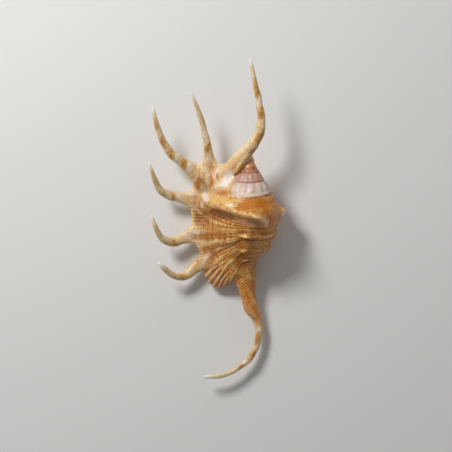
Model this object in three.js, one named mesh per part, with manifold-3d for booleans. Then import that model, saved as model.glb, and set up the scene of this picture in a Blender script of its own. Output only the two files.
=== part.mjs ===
// A spider conch shell lying on its mouth: one grown piece, so one mesh.
// Millimetres. +X is across, to the side away from the lip, +Y runs from the siphon tail to the
// spire, +Z is up, and the origin is under the middle of the shell on the surface it rests on.
import * as THREE from "three";
import { mergeVertices } from "three/addons/utils/BufferGeometryUtils.js";
import Module from "manifold-3d";

const { clamp, degToRad, lerp, smoothstep } = THREE.MathUtils;

// The coiling axis: the shell winds round it, and it leans with the spire up.
const APEX = new THREE.Vector3(20.1, 37, 24.5);
const AXIS_FOOT = new THREE.Vector3(17.4, -39.1, 8.6);

// Spire: whorls grow by a fixed ratio, each with a keel just above the next suture.
const SPIRE_SLOPE = 0.62;
const WHORL_RATIO = 1.57;
const SPIRE_END = 22.2;
const KEEL_HEIGHT = 0.075;
const SPIRE_TURN = [
  [-90, -0.37],
  [0, -0.15],
  [90, 0],
  [180, 0.15],
  [270, 0.63],
];

// Last whorl, as rows of distance down the axis, outer radius and radius of the pillar inside.
const LAST_WHORL = [
  [22.2, 14.2, 12.5],
  [25.5, 15.8, 11.6],
  [28.5, 17.5, 10.2],
  [32.5, 18.7, 9.0],
  [38, 18.1, 8.2],
  [43, 17.1, 7.6],
  [48, 16, 7.0],
  [52, 14.1, 6.5],
  [55, 12.3, 6.1],
  [58, 9.8, 5.5],
  [61, 7.5, 4.9],
  [65, 5.8, 4.3],
  [70, 4.6, 3.8],
];
const BODY_END = 70;

// Round the axis, from the side away from the lip over the back: growth of the radius, and how
// far the surface has drawn in from the outer wall to the pillar beside the mouth.
const ROUND_THE_AXIS = [
  [-100, 0.98, 0],
  [-60, 0.97, 0],
  [0, 1, 0],
  [60, 1.06, 0],
  [95, 1.1, 0],
  [120, 1.1, 0.42],
  [150, 1.1, 0.9],
  [180, 1.05, 1],
  [215, 1.0, 1],
  [240, 1.0, 0.62],
  [260, 0.98, 0],
];
const MOUTH_TOP = [23, 31];

// The middle of the shell as the points here give it, which goes over the origin.
const MIDDLE = { x: 0.29, y: -0.295 };

// Knobs: angle, distance down the axis, height, half width round the axis before and after the
// peak, and half width along the axis above and below it.
const KNOBS = [
  { angle: 2, down: 32.2, height: 4.4, before: 14, after: 15, above: 2.6, below: 4.2 },
  { angle: -52, down: 31.5, height: 3.2, before: 13, after: 15, above: 2.4, below: 3.6 },
  { angle: 0, down: 46.9, height: 1.5, before: 12, after: 14, above: 1.3, below: 1.5 },
  { angle: 86, down: 46.6, height: 1.4, before: 10, after: 24, above: 1.3, below: 1.5 },
  { angle: 2, down: 55, height: 2.4, before: 12, after: 14, above: 1.8, below: 1.6 },
  { angle: 92, down: 54.6, height: 1.2, before: 12, after: 24, above: 1.2, below: 1.5 },
];
const CORDS = [
  { down: 46.8, height: 0.55, half: 0.9 },
  { down: 54.9, height: 0.6, half: 0.9 },
];

// The lip, as rows of station, inner point (x, y), outer point (x, y), then the heights of the
// upper and of the lower face at 0, 1/4, 1/2, 3/4 and all of the way out.
const LIP = [
  [0, 18.5, 32, 15, 36.5, 24, 24.5, 24.5, 24, 23.5, 18, 18, 18.5, 19, 19.5],
  [1, 15, 26.5, 3.5, 33.4, 25, 24, 21, 17, 14.4, 19, 18, 15.5, 13, 11.6],
  [2, 13, 21.5, -4.8, 34.6, 28, 25, 19.4, 15, 13.4, 22, 18.5, 13.6, 10.6, 10.4],
  [3, 12, 17.5, -12, 31.8, 30.5, 26, 18.4, 13.4, 12.4, 24, 19, 11.5, 8, 9.4],
  [4, 12.5, 14, -15.4, 28.4, 32, 28, 19, 12.2, 11.6, 26, 21, 11, 5, 8.6],
  [5, 14, 11, -14.8, 20.4, 33, 31, 21.6, 10.4, 10.6, 28, 24, 12, 0.8, 7.8],
  [6, 17, 6, -17, 11.8, 35, 34.2, 23, 9.6, 10.8, 30, 27, 13, -0.8, 7.8],
  [7, 19, 0, -15.4, 1.8, 35.6, 34.8, 23, 9.2, 9.8, 30.5, 27.5, 12.5, -0.9, 7],
  [8, 19, -7, -15.5, -10, 33, 32, 21.6, 9, 9, 28, 25, 12, -0.9, 6.2],
  [9, 19, -13, -10.4, -19.8, 30, 28.8, 19.8, 9.4, 8.4, 25, 22, 10.5, -0.7, 5.6],
  [10, 18.5, -18.5, -9, -27.2, 25.6, 24.2, 16.6, 9.2, 7.6, 21, 18, 9, 0.2, 5],
  [11, 18.2, -22.5, -7.8, -33.2, 20.8, 20.4, 15, 9.4, 7.2, 16.6, 15, 8.8, 3.4, 4.6],
  [12, 18, -25.5, -4.4, -39, 18, 18, 14.2, 9.8, 6.8, 14, 13, 9.2, 5, 4.2],
  [13, 18, -28, -0.2, -41.8, 16.6, 16.8, 13.8, 10, 6.8, 12.6, 12, 9.4, 5.8, 4.2],
  [14, 17.8, -30, 4.6, -41, 15.6, 15.8, 13.6, 10.4, 7.2, 11.6, 11.2, 9.4, 6.4, 4.6],
  [15, 17.6, -32, 8.8, -39.4, 14.6, 14.8, 13.4, 10.8, 8, 10.8, 10.4, 9.4, 7.2, 5.4],
  [16, 17.4, -34, 12, -36.8, 13.6, 13.6, 13, 11.4, 9.6, 10.4, 10, 9.2, 7.8, 6.8],
];
// The shoulder ridge over the back and on to the lip, as rows of x, y of its crest, height, and
// half width above and below the crest. It ends in a blunt knob, and a hollow lies under it.
const SHOULDER = [
  [-13, 8.6, 0, 4, 2],
  [-8.5, 8.4, 1.5, 4.4, 2],
  [-3.5, 7.8, 2.9, 4.8, 2],
  [2, 6.4, 3.2, 4.2, 1.9],
  [7, 4.9, 3.4, 3.6, 2],
  [12.8, 3.4, 4, 3.4, 2.2],
  [18, 2, 5, 3.3, 2.6],
  [23, 0.7, 6.4, 3.1, 3],
  [26.6, -0.6, 6.8, 2.9, 3],
  [29, -1.9, 4.2, 2.6, 2.6],
  [31, -2.4, 0, 2.4, 2.4],
];
const HOLLOW = { x: 2.5, y: -0.2, depth: 1.7, halfX: 7.5, halfY: 3.2 };
const FAN_FROM = 10.6;
const FAN_TO = 15.8;
const FAN_RIBS = 8;
const FAN_RELIEF = 0.45;
const FAN_SCALLOP = 0.07;

// Spines, tip first, as rows of x, y, z, half width and half height. Each spreads where it
// leaves the lip, so that two neighbours meet in a round bay.
const SPINES = {
  first: [
    [19.6, 95.6, 31, 0.55, 0.5],
    [20.5, 91.7, 31, 1, 0.9],
    [21.6, 86.4, 30.8, 1.35, 1.2],
    [22.7, 80.8, 30.4, 1.6, 1.5],
    [24.2, 74.2, 29.8, 1.95, 1.8],
    [25.3, 67.6, 29.2, 2.2, 2],
    [26.3, 61.6, 28.7, 2.5, 2.2],
    [26.1, 55.6, 28.3, 2.85, 2.5],
    [24.7, 49.9, 28, 3.2, 2.8],
    [22, 45.3, 27.5, 3.6, 3],
    [18.9, 41.6, 26.9, 4, 3.2],
    [15.6, 37.6, 25.8, 4.6, 3.4],
    [12.2, 33.4, 24.2, 5.2, 3.6],
    [9, 28.6, 21.6, 5.8, 3.6],
    [6.4, 23, 17.6, 5, 3],
  ],
  second: [
    [-15.4, 76, 25, 0.6, 0.5],
    [-14.2, 72.3, 24.2, 1, 0.9],
    [-12.5, 68.1, 23, 1.3, 1.2],
    [-10.6, 63.3, 21.6, 1.5, 1.4],
    [-8.8, 57.4, 19.9, 1.75, 1.6],
    [-7.4, 51.4, 18.2, 2.1, 1.9],
    [-6, 46, 16.6, 2.3, 2.1],
    [-5.3, 41.2, 15.2, 2.6, 2.2],
    [-4.9, 37, 14, 3.5, 2.3],
    [-4.7, 33, 13.2, 5.6, 2.3],
    [-4, 28, 13.6, 7.2, 2],
    [-1, 22.6, 16, 5, 1.4],
  ],
  third: [
    [-38.5, 67.4, 24, 0.6, 0.5],
    [-38, 64.6, 23.6, 1, 0.9],
    [-37, 60.1, 22.6, 1.4, 1.25],
    [-35.6, 55, 21.2, 1.75, 1.6],
    [-33.7, 49.4, 19.4, 2.1, 1.85],
    [-30.9, 43.9, 17.5, 2.35, 2.1],
    [-27.4, 39.1, 15.6, 2.65, 2.3],
    [-23.2, 35.7, 14, 2.95, 2.4],
    [-18.9, 32.4, 12.6, 3.4, 2.4],
    [-15, 29.4, 11.4, 4.6, 2.3],
    [-10.8, 25.6, 10.4, 5.6, 2],
    [-5.6, 21, 10.4, 4, 1.4],
  ],
  fourth: [
    [-40.8, 34.3, 22, 0.6, 0.5],
    [-39.8, 31, 21.4, 1, 0.9],
    [-38.4, 26.8, 20.2, 1.4, 1.25],
    [-37.1, 23.1, 18.6, 1.75, 1.55],
    [-35.3, 19.1, 16.5, 2.1, 1.85],
    [-32.3, 15.8, 14, 2.45, 2.1],
    [-28.2, 14, 11.8, 2.7, 2.3],
    [-23.7, 13, 10.3, 3, 2.4],
    [-19.8, 12.2, 9.4, 3.7, 2.4],
    [-16, 11.8, 9, 5.6, 2.2],
    [-11.5, 11.2, 8.2, 8.4, 2],
    [-5.5, 10.4, 8.6, 8, 1.6],
  ],
  fifth: [
    [-39.2, 2.4, 21, 0.7, 0.5],
    [-38.3, -0.8, 20.3, 1.1, 0.95],
    [-37, -4.5, 18.9, 1.5, 1.3],
    [-35.2, -8.5, 16.8, 1.8, 1.6],
    [-32.6, -12, 14.2, 2.1, 1.9],
    [-29, -13.7, 11.8, 2.6, 2.3],
    [-25.1, -13.5, 9.8, 3.1, 2.5],
    [-21.1, -12.2, 8.6, 3.5, 2.5],
    [-17.4, -10.6, 7.8, 4.3, 2.4],
    [-13.8, -9.6, 7.4, 6.2, 2.2],
    [-9.6, -8.8, 7.2, 8.6, 2],
    [-4, -8, 7.4, 8, 1.6],
  ],
  sixth: [
    [-35.4, -26.2, 18, 0.85, 0.7],
    [-33.5, -27.9, 17.2, 1.35, 1.1],
    [-31, -30.4, 15.4, 1.8, 1.5],
    [-28.2, -32.7, 13.2, 1.95, 1.7],
    [-24.9, -34.4, 11, 2.15, 1.9],
    [-21, -34.7, 9.2, 2.55, 2.2],
    [-17.7, -33.5, 8, 2.85, 2.4],
    [-15, -31.2, 7.4, 3.2, 2.4],
    [-12, -28.8, 7, 3.7, 2.3],
    [-8.6, -26.7, 6.8, 4.9, 2.2],
    [-4.4, -24.6, 7.2, 6.6, 1.9],
    [1, -22, 8.4, 6.6, 1.4],
  ],
};

// The siphon canal: a wide neck, then a tail that hooks round to the lip's side.
const TAIL = [
  [-8.3, -95, 10.2, 0.85, 0.7],
  [-4.8, -95.1, 9.8, 1.2, 1.05],
  [0.6, -94.7, 9.2, 1.4, 1.25],
  [6.3, -93.3, 8.5, 1.5, 1.35],
  [11.7, -90.5, 7.8, 1.6, 1.5],
  [16.8, -86.8, 7.2, 1.8, 1.7],
  [20.7, -82.6, 6.7, 2, 1.9],
  [23.4, -77.4, 6.3, 2.1, 2],
  [24.9, -71.8, 6.1, 2.2, 2.1],
  [25.3, -66.1, 6, 2.4, 2.3],
  [24.4, -61, 6.1, 2.6, 2.5],
  [22.9, -56.5, 6.3, 3, 2.9],
  [21.2, -51.8, 6.7, 3.6, 3.4],
  [19.6, -46, 7.2, 4, 3.8],
];
const NECK = [
  [24.4, -60.4, 7.2, 1.7, 1.5],
  [23, -58, 7.3, 2.9, 2.4],
  [21.5, -55.8, 7.2, 4, 3.3],
  [20.5, -53.4, 7.2, 4.6, 3.8],
  [19.8, -50.4, 7.3, 4.6, 4],
  [18.9, -46.9, 7.6, 4.5, 4.2],
  [18, -42.8, 8.1, 5, 4.8],
  [17.4, -39.1, 8.6, 5.8, 5.2],
  [16.9, -34.4, 9.4, 6.5, 5.8],
  [16.5, -28.3, 10.4, 7.1, 6.4],
  [16.6, -22, 11.6, 6.4, 6.2],
  [17, -16, 12.8, 5.2, 5.2],
  [17.6, -10, 14, 4, 4],
];
// Thin wall of the hind canal, behind the tip of the spire.
const HIND_WALL = [
  [20.2, 41.5, 24.5, 0.8, 1],
  [20.2, 38.5, 22.4, 1.2, 2],
  [20.6, 35, 20.6, 1.8, 2.6],
  [20.8, 31, 18.6, 2.2, 3],
];
// The open groove under the neck and the tail.
const GROOVE = [
  [14, -18, 3.6, 1, 0.8],
  [14.8, -24, 4.4, 2.8, 2.6],
  [15.8, -31, 4.2, 2.6, 3],
  [17, -38, 3, 2.2, 2.5],
  [18.2, -45, 2.8, 1.7, 2],
  [20.6, -51.5, 3, 1.4, 1.7],
  [23.2, -58, 3.3, 1.1, 1.3],
  [25, -65, 3.5, 0.8, 0.9],
  [24.8, -72, 3.8, 0.5, 0.5],
];

const MERGE_MM = 1e-4;

const bell = (offset, half) => Math.exp(-((offset / half) ** 2));

// A smooth curve through rows of [station, value, value, ...].
function through(rows, station) {
  const last = rows.length - 1;
  let i = 0;
  while (i < last - 1 && station > rows[i + 1][0]) i += 1;
  const [from, to] = [rows[i], rows[i + 1]];
  const span = to[0] - from[0];
  const s = clamp((station - from[0]) / span, 0, 1);
  const slope = (row, column) => {
    const before = rows[Math.max(row - 1, 0)];
    const after = rows[Math.min(row + 1, last)];
    return ((after[column] - before[column]) / (after[0] - before[0])) * span;
  };
  return from.slice(1).map((value, k) => {
    const column = k + 1;
    const rise = to[column] - value;
    const [start, end] = [slope(i, column), slope(i + 1, column)];
    return value + s * (start + s * (3 * rise - 2 * start - end + s * (start + end - 2 * rise)));
  });
}

const numbered = (rows) => rows.map((row, i) => [i, ...row]);

// A closed skin: place(angle, t) gives the point at an angle round it and a share t along it.
function skin(around, along, place) {
  const geometry = new THREE.CylinderGeometry(1, 1, 1, around, along);
  geometry.deleteAttribute("normal");
  geometry.deleteAttribute("uv");
  const merged = mergeVertices(geometry, MERGE_MM);
  const position = merged.getAttribute("position");
  const ring = (t) => {
    const middle = new THREE.Vector3();
    for (let i = 0; i < around; i += 1) middle.add(place((i / around) * 2 * Math.PI, t));
    return middle.divideScalar(around);
  };
  for (let i = 0; i < position.count; i += 1) {
    const [x, y, z] = [position.getX(i), position.getY(i), position.getZ(i)];
    const t = y + 0.5;
    const onAxis = Math.hypot(x, z) < 0.5;
    const point = onAxis ? ring(t) : place(Math.atan2(x, z), t);
    position.setXYZ(i, point.x, point.y, point.z);
  }
  return merged;
}

// The spire's radius: a cone with a keel on each whorl, whose phase turns with the angle.
const spireRadius = (angle, down) => {
  const turn = through(SPIRE_TURN, angle)[0];
  const whorls = Math.log(Math.max(down, 0.4) / SPIRE_END) / Math.log(WHORL_RATIO) - turn;
  const phase = whorls - Math.floor(whorls);
  const keel = bell(phase - 0.86, 0.13) + bell(phase + 0.14, 0.13) - 0.9 * bell(phase - 1, 0.05);
  return SPIRE_SLOPE * down * (1 + KEEL_HEIGHT * (keel - 0.5 * bell(phase - 0.3, 0.3)));
};

const knobHeight = (angle, down) =>
  KNOBS.reduce((sum, knob) => {
    const turn = angle - knob.angle;
    const below = down - knob.down;
    const round = bell(turn, turn < 0 ? knob.before : knob.after);
    return sum + knob.height * round * bell(below, below < 0 ? knob.above : knob.below);
  }, 0);

const cordHeight = (down) =>
  CORDS.reduce((sum, cord) => sum + cord.height * bell(down - cord.down, cord.half), 0);

function bodyRadius(angle, down) {
  const [growth, drawn] = through(ROUND_THE_AXIS, angle);
  if (down < SPIRE_END) return spireRadius(angle, down);
  const [outer, pillar] = through(LAST_WHORL, down);
  const opened = drawn * smoothstep(down, ...MOUTH_TOP);
  const grown = lerp(1, growth, smoothstep(down, SPIRE_END, SPIRE_END + 8));
  const wall = outer * grown + (1 - opened) * (knobHeight(angle, down) + cordHeight(down));
  return lerp(wall, pillar, opened);
}

function shoulderHeight(x, y) {
  const place = clamp(x, SHOULDER[0][0], SHOULDER[SHOULDER.length - 1][0]);
  const [crest, height, above, below] = through(SHOULDER, place);
  const ridge = height * bell(crest - y, crest < y ? above : below);
  return ridge - HOLLOW.depth * bell(x - HOLLOW.x, HOLLOW.halfX) * bell(y - HOLLOW.y, HOLLOW.halfY);
}

// Spire and last whorl in one skin round the leaning axis.
function whorls(around, along) {
  const down = new THREE.Vector3().subVectors(AXIS_FOOT, APEX).normalize();
  const side = new THREE.Vector3(1, 0, 0).addScaledVector(down, -down.x).normalize();
  const back = new THREE.Vector3().crossVectors(side, down);
  if (back.z < 0) back.negate();
  return skin(around, along, (turned, t) => {
    const turn = (((turned * 180) / Math.PI + 460) % 360) - 100;
    const distance = BODY_END * (1 - t) ** 1.12;
    const radius = bodyRadius(turn, distance);
    const point = APEX.clone()
      .addScaledVector(down, distance)
      .addScaledVector(side, radius * Math.cos(degToRad(turn)))
      .addScaledVector(back, radius * Math.sin(degToRad(turn)));
    const onBack = smoothstep(turn, 25, 50) * smoothstep(-turn, -150, -125);
    point.z += onBack * smoothstep(distance, SPIRE_END, SPIRE_END + 3) * shoulderHeight(point.x, point.y);
    return point;
  });
}

// The lip: a curved sheet from the last whorl's back out to the edge that carries the spines.
function lip(around, along) {
  const stationAt = (t) => through([[0, 16], [0.5, 10.4], [1, 0]], t)[0];
  return skin(around, along, (angle, t) => {
    const station = stationAt(t);
    const [xIn, yIn, xOut, yOut, ...heights] = through(LIP, station);
    const out = (1 - Math.cos(angle)) / 2;
    const profile = (from) => {
      const rows = [0, 1, 2, 3, 4].map((i) => [i / 4, heights[from + i]]);
      return through(rows, out)[0];
    };
    const [top, bottom] = [profile(0), profile(5)];
    const edge = Math.abs(Math.sin(angle)) ** 0.3 * Math.sign(Math.sin(angle));
    const fan = smoothstep(station, FAN_FROM, FAN_FROM + 1) * smoothstep(-station, -FAN_TO, 0.6 - FAN_TO);
    const rib = Math.cos(((station - FAN_FROM) / (FAN_TO - FAN_FROM)) * FAN_RIBS * 2 * Math.PI);
    const reach = out * (1 + fan * FAN_SCALLOP * rib * smoothstep(out, 0.5, 1));
    const [x, y] = [lerp(xIn, xOut, reach), lerp(yIn, yOut, reach)];
    const ribbed = fan * FAN_RELIEF * rib * smoothstep(out, 0.15, 0.7);
    const lift = clamp(edge, 0, 1) * shoulderHeight(x, y);
    return new THREE.Vector3(x, y, (top + bottom + edge * (top - bottom)) / 2 + ribbed + lift);
  });
}

// A tapered limb along rows of [x, y, z, half width, half height], tip first.
function limb(rows, around, along) {
  const stations = numbered(rows);
  const last = rows.length - 1;
  const centre = (s) => new THREE.Vector3(...through(stations, clamp(s, 0, last)));
  return skin(around, along, (angle, t) => {
    const s = last * (1 - t);
    const ahead = centre(s + 0.05).sub(centre(s - 0.05)).normalize();
    const across = new THREE.Vector3(-ahead.y, ahead.x, 0).normalize();
    const up = new THREE.Vector3().crossVectors(ahead, across);
    const [wide, high] = through(stations, s).slice(3);
    return centre(s)
      .addScaledVector(across, wide * Math.cos(angle))
      .addScaledVector(up, high * Math.sin(angle));
  });
}

const wasm = await Module();
wasm.setup();

// A geometry as a solid. A skin that came out facing inwards has its triangles turned round.
function solidOf(geometry) {
  const merged = mergeVertices(geometry, MERGE_MM);
  const vertProperties = merged.getAttribute("position").array;
  const triVerts = new Uint32Array(merged.index.array);
  const solid = new wasm.Manifold(new wasm.Mesh({ numProp: 3, vertProperties, triVerts }));
  if (solid.volume() > 0) return solid;
  triVerts.reverse();
  return new wasm.Manifold(new wasm.Mesh({ numProp: 3, vertProperties, triVerts }));
}

function geometryOf(solid) {
  const mesh = solid.getMesh();
  return new THREE.BufferGeometry()
    .setAttribute("position", new THREE.BufferAttribute(mesh.vertProperties, 3))
    .setIndex(new THREE.BufferAttribute(mesh.triVerts, 1));
}

// Everything under the surface that the shell rests on.
function ground() {
  const box = new THREE.BoxGeometry(200, 300, 40).translate(0, 0, -20);
  box.deleteAttribute("normal");
  box.deleteAttribute("uv");
  return box;
}

const grown = [
  whorls(44, 48),
  lip(28, 46),
  ...Object.values(SPINES).map((rows) => limb(rows, 8, rows.length + 2)),
  limb(TAIL, 8, 18),
  limb(NECK, 12, 14),
  limb(HIND_WALL, 8, 5),
].map(solidOf);

const whole = grown.reduce((joined, piece) => joined.add(piece));
const shell = whole.subtract(solidOf(limb(GROOVE, 8, 12))).subtract(solidOf(ground()));

const shape = geometryOf(shell).translate(-MIDDLE.x, -MIDDLE.y, 0);
const material = new THREE.MeshStandardMaterial({ color: 0xc98d4b, roughness: 0.45, metalness: 0 });
const mesh = new THREE.Mesh(shape, material);
mesh.name = "shell";

const conch = new THREE.Group();
conch.add(mesh);
export default conch;
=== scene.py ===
import math
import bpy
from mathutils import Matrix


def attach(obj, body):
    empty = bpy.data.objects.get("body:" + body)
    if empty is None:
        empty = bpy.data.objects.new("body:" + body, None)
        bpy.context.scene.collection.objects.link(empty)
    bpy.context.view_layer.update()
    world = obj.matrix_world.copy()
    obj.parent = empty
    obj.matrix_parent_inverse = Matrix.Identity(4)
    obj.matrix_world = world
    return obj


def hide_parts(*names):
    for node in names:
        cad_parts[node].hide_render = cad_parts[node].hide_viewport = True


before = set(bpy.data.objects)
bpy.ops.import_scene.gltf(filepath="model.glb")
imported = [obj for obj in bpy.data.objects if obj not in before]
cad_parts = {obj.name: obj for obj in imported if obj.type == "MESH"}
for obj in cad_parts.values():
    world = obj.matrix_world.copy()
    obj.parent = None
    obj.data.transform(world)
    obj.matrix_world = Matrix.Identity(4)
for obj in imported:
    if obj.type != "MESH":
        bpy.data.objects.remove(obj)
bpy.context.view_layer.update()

from types import SimpleNamespace

import bmesh
import bpy
import numpy as np
from mathutils.kdtree import KDTree

# A spider conch shell lying on its mouth. Lengths are millimetres up to the finished mesh, which
# is scaled to metres. +X is across, away from the lip, +Y runs from the tail to the spire, +Z up.

METRE = 0.001
MIDDLE = np.array([0.29, -0.295, 0])

# The coiling axis.
APEX = np.array([20.1, 37, 24.5])
AXIS_FOOT = np.array([17.4, -39.1, 8.6])
DOWN = (AXIS_FOOT - APEX) / np.linalg.norm(AXIS_FOOT - APEX)
SIDE = np.array([1, 0, 0]) - DOWN * DOWN[0]
SIDE /= np.linalg.norm(SIDE)
BACK = np.cross(DOWN, SIDE)

# The spire. The last table is the share of a turn by which each side of it lags behind.
SPIRE_SLOPE = 0.62
WHORL_RATIO = 1.57
SPIRE_END = 22.2
KEEL_HEIGHT = 0.075
KEEL_NODULES = 13
SPIRE_TURN = [(-90, -0.37), (0, -0.15), (90, 0), (180, 0.15), (270, 0.63)]

# Last whorl: distance down the axis, outer radius, radius of the pillar inside.
LAST_WHORL = [
    (22.2, 14.2, 12.5), (25.5, 15.8, 11.6), (28.5, 17.5, 10.2), (32.5, 18.7, 9),
    (38, 18.1, 8.2), (43, 17.1, 7.6), (48, 16, 7), (52, 14.1, 6.5), (55, 12.3, 6.1),
    (58, 9.8, 5.5), (61, 7.5, 4.9), (65, 5.8, 4.3), (70, 4.6, 3.8),
]
BODY_END = 70
TURN_START = -100
# Angle round the axis, growth of the radius, share of the way drawn in to the pillar.
ROUND_THE_AXIS = [
    (-100, 0.98, 0), (-60, 0.97, 0), (0, 1, 0), (60, 1.06, 0), (95, 1.1, 0), (120, 1.1, 0.42),
    (150, 1.1, 0.9), (180, 1.05, 1), (215, 1, 1), (240, 1, 0.62), (260, 0.98, 0),
]
MOUTH_TOP = (23, 31)

# Knobs of the shoulder: angle round the axis, distance down it, slant, height, half widths round
# the axis before and after the peak, half widths along the axis above and below it.
KNOBS = [
    (2, 32.2, 0, 4.4, 14, 15, 2.6, 4.2),
    (-52, 31.5, 0, 3.2, 13, 15, 2.4, 3.6),
]
# Nodules on the cords, in the same order.
NODULES = [
    (0, 47, 0, 1.7, 9, 11, 1.2, 1.3),
    (92, 44.9, 0.02, 2.3, 7, 20, 1.7, 0.8),
    (-40, 47.2, 0, 1.2, 9, 11, 1.2, 1.3),
    (2, 55, 0, 2.3, 10, 12, 1.6, 1.4),
    (98, 54.4, 0, 2, 9, 20, 1.6, 0.8),
    (-42, 55, 0, 1.3, 10, 12, 1.3, 1.4),
    (95, 61.4, 0, 0.7, 14, 24, 1.2, 0.9),
]
# The shoulder ridge ends in a blunt knob with a hollow under it. For each x: y of the crest,
# height, half widths above and below.
SHOULDER = [
    (-13, 8.6, 0, 4, 2), (-8.5, 8.4, 1.5, 4.4, 2), (-3.5, 7.8, 2.9, 4.8, 2), (2, 6.4, 3.2, 4.2, 1.9),
    (7, 4.9, 3.4, 3.6, 2), (12.8, 3.4, 4, 3.4, 2.2), (18, 2, 5, 3.3, 2.6), (23, 0.7, 6.4, 3.1, 3),
    (26.6, -0.6, 6.8, 2.9, 3), (29, -1.9, 4.2, 2.6, 2.6), (31, -2.4, 0, 2.4, 2.4),
]
HOLLOW = {"x": 2.5, "y": -0.2, "depth": 1.7, "half_x": 7.5, "half_y": 3.2}

# The lip: station, inner x and y, outer x and y, five heights of the upper face from the inner
# to the outer edge, five of the lower face.
LIP = [
    (0, 18.5, 32, 15, 36.5, 24, 24.5, 24.5, 24, 23.5, 18, 18, 18.5, 19, 19.5),
    (1, 15, 26.5, 3.5, 33.4, 25, 24, 21, 17, 14.4, 19, 18, 15.5, 13, 11.6),
    (2, 13, 21.5, -4.8, 34.6, 28, 25, 19.4, 15, 13.4, 22, 18.5, 13.6, 10.6, 10.4),
    (3, 12, 17.5, -12, 31.8, 30.5, 26, 18.4, 13.4, 12.4, 24, 19, 11.5, 8, 9.4),
    (4, 12.5, 14, -15.4, 28.4, 32, 28, 19, 12.2, 11.6, 26, 21, 11, 5, 8.6),
    (5, 14, 11, -14.8, 20.4, 33, 31, 21.6, 10.4, 10.6, 28, 24, 12, 0.8, 7.8),
    (6, 17, 6, -17, 11.8, 35, 34.2, 23, 9.6, 10.8, 30, 27, 13, -0.8, 7.8),
    (7, 19, 0, -15.4, 1.8, 35.6, 34.8, 23, 9.2, 9.8, 30.5, 27.5, 12.5, -0.9, 7),
    (8, 19, -7, -15.5, -10, 33, 32, 21.6, 9, 9, 28, 25, 12, -0.9, 6.2),
    (9, 19, -13, -10.4, -19.8, 30, 28.8, 19.8, 9.4, 8.4, 25, 22, 10.5, -0.7, 5.6),
    (10, 18.5, -18.5, -9, -27.2, 25.6, 24.2, 16.6, 9.2, 7.6, 21, 18, 9, 0.2, 5),
    (11, 18.2, -22.5, -7.8, -33.2, 20.8, 20.4, 15, 9.4, 7.2, 16.6, 15, 8.8, 3.4, 4.6),
    (12, 18, -25.5, -4.4, -39, 18, 18, 14.2, 9.8, 6.8, 14, 13, 9.2, 5, 4.2),
    (13, 18, -28, -0.2, -41.8, 16.6, 16.8, 13.8, 10, 6.8, 12.6, 12, 9.4, 5.8, 4.2),
    (14, 17.8, -30, 4.6, -41, 15.6, 15.8, 13.6, 10.4, 7.2, 11.6, 11.2, 9.4, 6.4, 4.6),
    (15, 17.6, -32, 8.8, -39.4, 14.6, 14.8, 13.4, 10.8, 8, 10.8, 10.4, 9.4, 7.2, 5.4),
    (16, 17.4, -34, 12, -36.8, 13.6, 13.6, 13, 11.4, 9.6, 10.4, 10, 9.2, 7.8, 6.8),
]
LIP_END = 16
# The stations between which the lip is ribbed like a fan.
FAN_FROM, FAN_TO = 10.6, 15.8
FAN_RIBS = 8

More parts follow.
